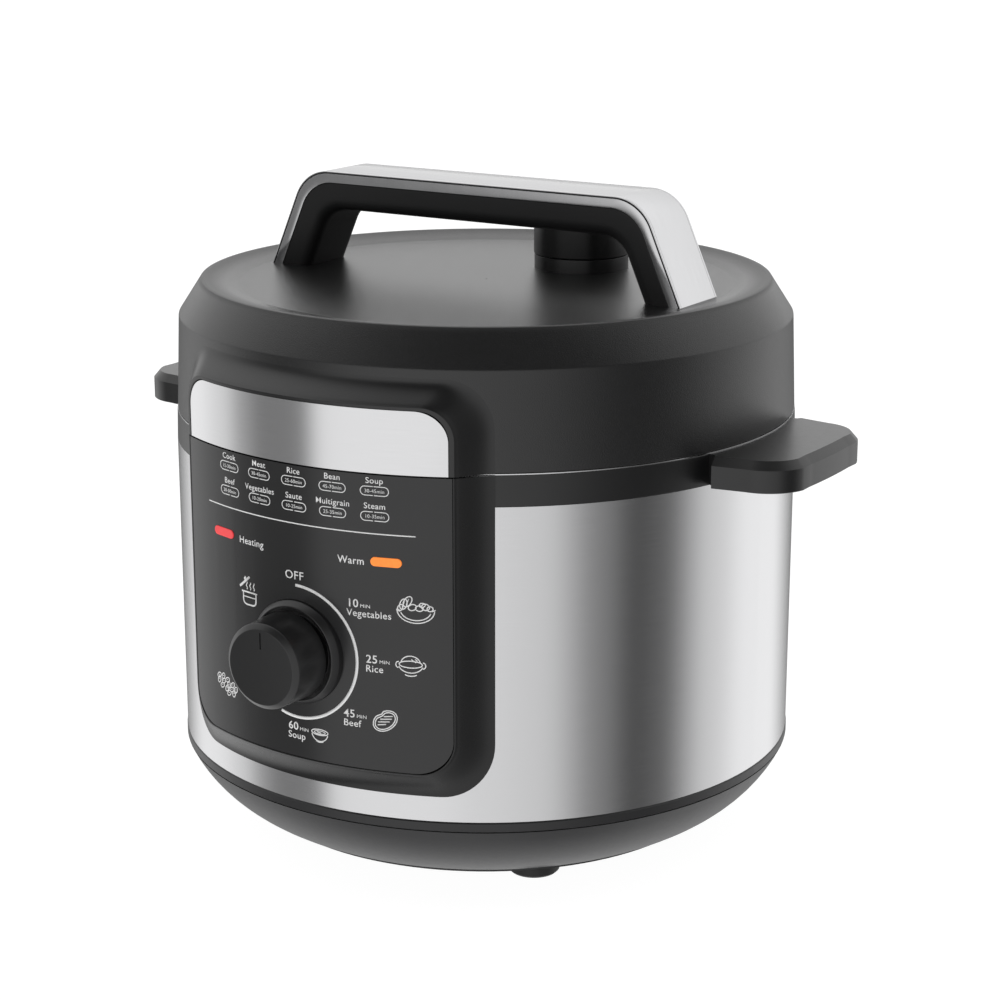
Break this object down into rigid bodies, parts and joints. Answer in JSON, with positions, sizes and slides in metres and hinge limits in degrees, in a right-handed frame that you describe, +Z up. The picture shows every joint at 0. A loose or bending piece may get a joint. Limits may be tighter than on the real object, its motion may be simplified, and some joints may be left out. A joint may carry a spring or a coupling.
{
  "type": "electric pressure cooker",
  "caption": "Round electric pressure cooker with a bayonet lid, arched lid handle, steam valve, two side handles, removable inner pot and a front panel with a turning timer knob.",
  "frame": {"origin": "centre of the footprint, on the floor under the feet", "axes": "+Z up, the control panel faces -Y, the side handles lie along X; the pot's axis is 13.95 mm behind the origin"},
  "size_m": [0.352, 0.319, 0.2958],
  "materials": {
    "black_plastic": "fine satin moulded texture",
    "base_plastic": "satin moulded texture",
    "trim_plastic": "satin",
    "panel_face": "printed, semi-gloss",
    "frame_plastic": "semi-gloss",
    "knob_plastic": "satin",
    "cap_plastic": "satin",
    "grip_plastic": "fine matte texture",
    "drum_steel": "vertical gradient, brushed",
    "badge_steel": "brushed",
    "handle_chrome": "satin chrome",
    "handle_plate": "fine brushed",
    "red_lens": "translucent",
    "orange_lens": "translucent",
    "lamp_glass": "clear",
    "timer_plastic": "moulded",
    "zinc_screw": "zinc plated",
    "pot_metal": "brushed inside, satin outside",
    "well_metal": "pressed",
    "lid_steel": "polished",
    "plate_metal": "cast and turned",
    "copper_tab": "plain",
    "spring_steel": "plain",
    "switch_plastic": "moulded",
    "ceramic_white": "plain",
    "inlet_plastic": "moulded",
    "pin_brass": "nickel plated",
    "foot_rubber": "matte",
    "gasket_silicone": "translucent silicone",
    "float_seal_silicone": "silicone"
  },
  "bodies": {
    "cooker_body": {"base_pan": "base_plastic", "lower_trim_ring": "trim_plastic", "steel_wrap": "drum_steel", "handle_ring": "black_plastic", "panel_frame": "frame_plastic", "control_panel": "panel_face", "knob_collar": "knob_plastic", "heating_lens": "red_lens", "warm_lens": "orange_lens", "indicator_lamps": "lamp_glass", "timer_unit": "timer_plastic", "timer_screws": "zinc_screw", "outer_pot": "well_metal", "bayonet_ring": "lid_steel", "heating_plate": "plate_metal", "heater_terminals": "copper_tab", "elastic_disc": "spring_steel", "pressure_switch": "switch_plastic", "sensor_bracket": "well_metal", "sensor_spring": "spring_steel", "thermal_fuse": "ceramic_white", "power_inlet": "inlet_plastic", "inlet_pins": "pin_brass", "rubber_feet": "foot_rubber", "foot_screws": "zinc_screw", "base_screws": "zinc_screw", "panel_screws": "zinc_screw", "ring_screws": "zinc_screw"},
    "pot": {"inner_pot": "pot_metal"},
    "sensor": {"thermostat_sensor": "plate_metal"},
    "timer": {"timer_knob": "knob_plastic", "timer_shaft": "zinc_screw"},
    "lid_seal": {"sealing_gasket": "gasket_silicone"},
    "lid": {"lid_cover": "black_plastic", "lid_badge_plate": "badge_steel", "inner_lid": "lid_steel", "inner_lid_screws": "zinc_screw", "handle_grip": "grip_plastic", "handle_shell": "handle_chrome", "handle_top_plate": "handle_plate", "handle_screws": "zinc_screw", "exhaust_pipe": "lid_steel", "exhaust_nut": "zinc_screw", "anti_block_shield": "lid_steel", "float_guide": "lid_steel"},
    "steam_weight": {"valve_weight": "zinc_screw"},
    "steam_cap": {"valve_cap": "cap_plastic"},
    "float": {"float_valve": "lid_steel", "float_seal": "float_seal_silicone"}
  },
  "joints": [
    {"name": "lid_lift", "type": "slide", "parent": "cooker_body", "child": "lid_seal", "axis": [0, 0, 1], "range_m": [0, 0.36]},
    {"name": "lid_twist", "type": "hinge", "parent": "lid_seal", "child": "lid", "pos_m": [0, 0.01395, 0.2], "axis": [0, 0, 1], "range_deg": [-30, 0]},
    {"name": "pot_lift", "type": "slide", "parent": "cooker_body", "child": "pot", "axis": [0, 0, 1], "range_m": [0, 0.17]},
    {"name": "sensor_press", "type": "slide", "parent": "cooker_body", "child": "sensor", "axis": [0, 0, -1], "range_m": [0, 0.003], "stiffness_N_per_m": 600, "springref_m": -0.004, "deforming": ["sensor_spring"]},
    {"name": "timer_turn", "type": "hinge", "parent": "cooker_body", "child": "timer", "pos_m": [0, -0.13605, 0.1123], "axis": [0, 1, 0], "range_deg": [0, 270]},
    {"name": "steam_weight_lift", "type": "slide", "parent": "lid", "child": "steam_weight", "axis": [0, 0, 1], "range_m": [0, 0.003]},
    {"name": "steam_cap_turn", "type": "hinge", "parent": "steam_weight", "child": "steam_cap", "pos_m": [0.0195, 0.06675, 0.262], "axis": [0, 0, 1], "range_deg": [0, 90]},
    {"name": "float_rise", "type": "slide", "parent": "lid", "child": "float", "axis": [0, 0, 1], "range_m": [0, 0.004]}
  ],
  "couplings": [
    {"joint": "pot_lift", "follows": "lid_lift", "ratio": 0.47}
  ]
}
